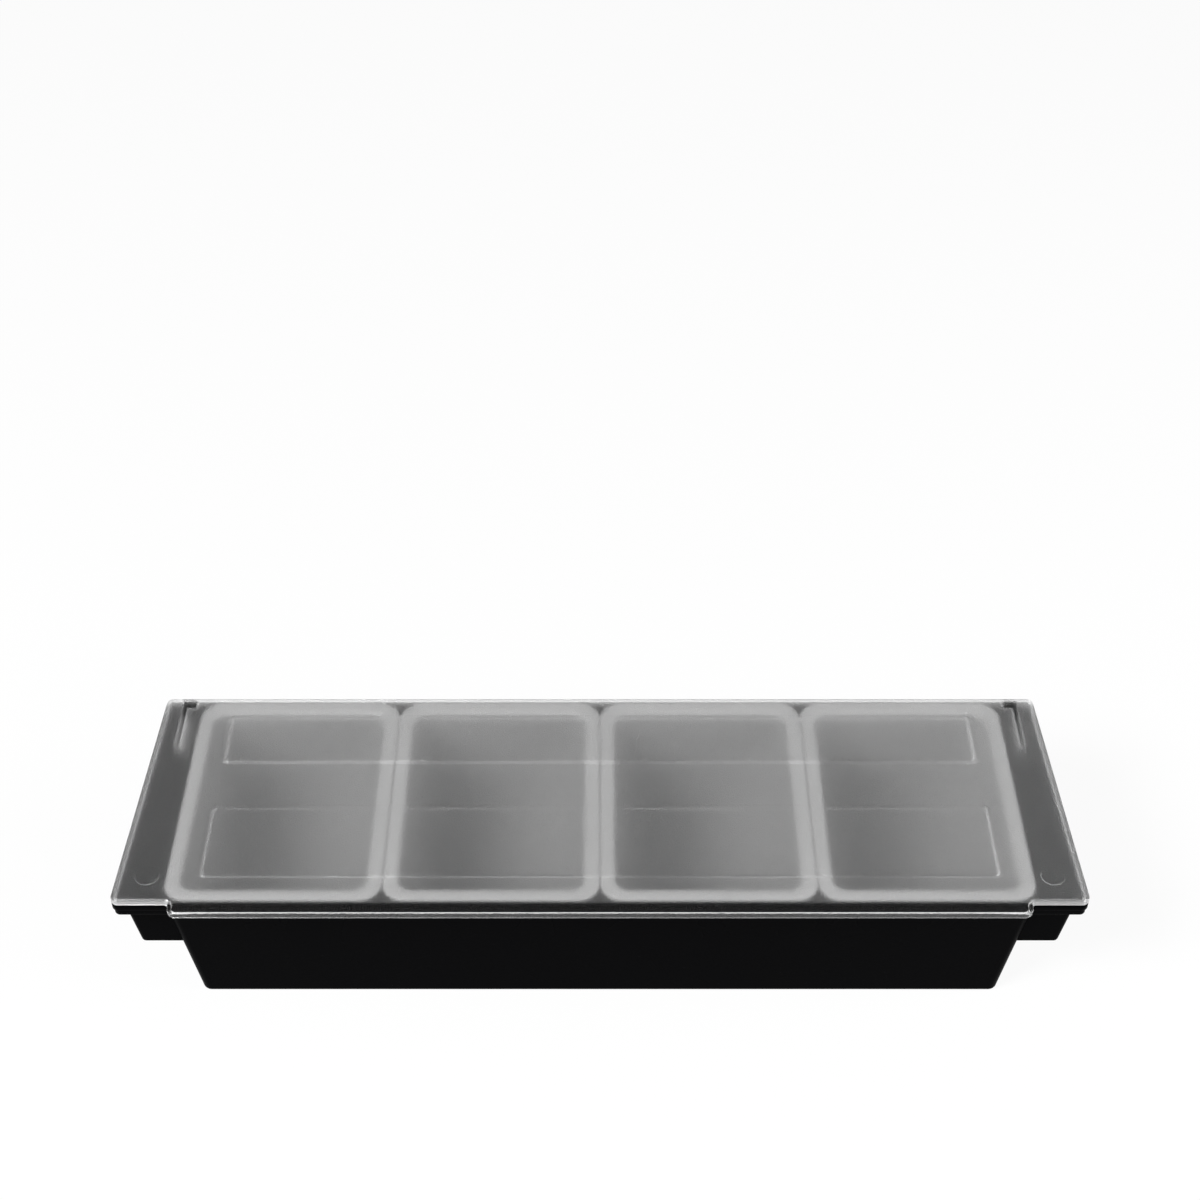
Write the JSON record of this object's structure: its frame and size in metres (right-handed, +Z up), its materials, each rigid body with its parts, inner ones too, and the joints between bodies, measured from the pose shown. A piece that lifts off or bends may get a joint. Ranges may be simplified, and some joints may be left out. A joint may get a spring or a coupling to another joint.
{
  "type": "condiment caddy",
  "caption": "Long black caddy with a deep well that hangs drafted white inserts by their flanges, under one frosted lid hinged at the rear corners.",
  "frame": {"origin": "under the middle of the whole caddy with its lid shut, on the surface it stands on", "axes": "+X along the caddy to the right as seen from its front, +Y from the lid's lip to the hinges, +Z up"},
  "size_m": [0.4996, 0.1586, 0.0931],
  "materials": {
    "tray": "black injection-moulded plastic, gloss",
    "lid": "clear injection-moulded plastic with a fine frosted texture",
    "insert": "translucent white injection-moulded plastic",
    "pin": "drawn stainless steel wire"
  },
  "bodies": {
    "tray": {"tray": "tray", "insert_left": "insert", "insert_centre_left": "insert", "insert_centre_right": "insert", "insert_right": "insert", "hinge_pin_left": "pin", "hinge_pin_right": "pin"},
    "lid": {"lid": "lid"}
  },
  "joints": [
    {"name": "lid_hinge", "type": "hinge", "parent": "tray", "child": "lid", "pos_m": [0, 0.07585, 0.0815], "axis": [-1, 0, 0], "range_deg": [0, 105]}
  ]
}
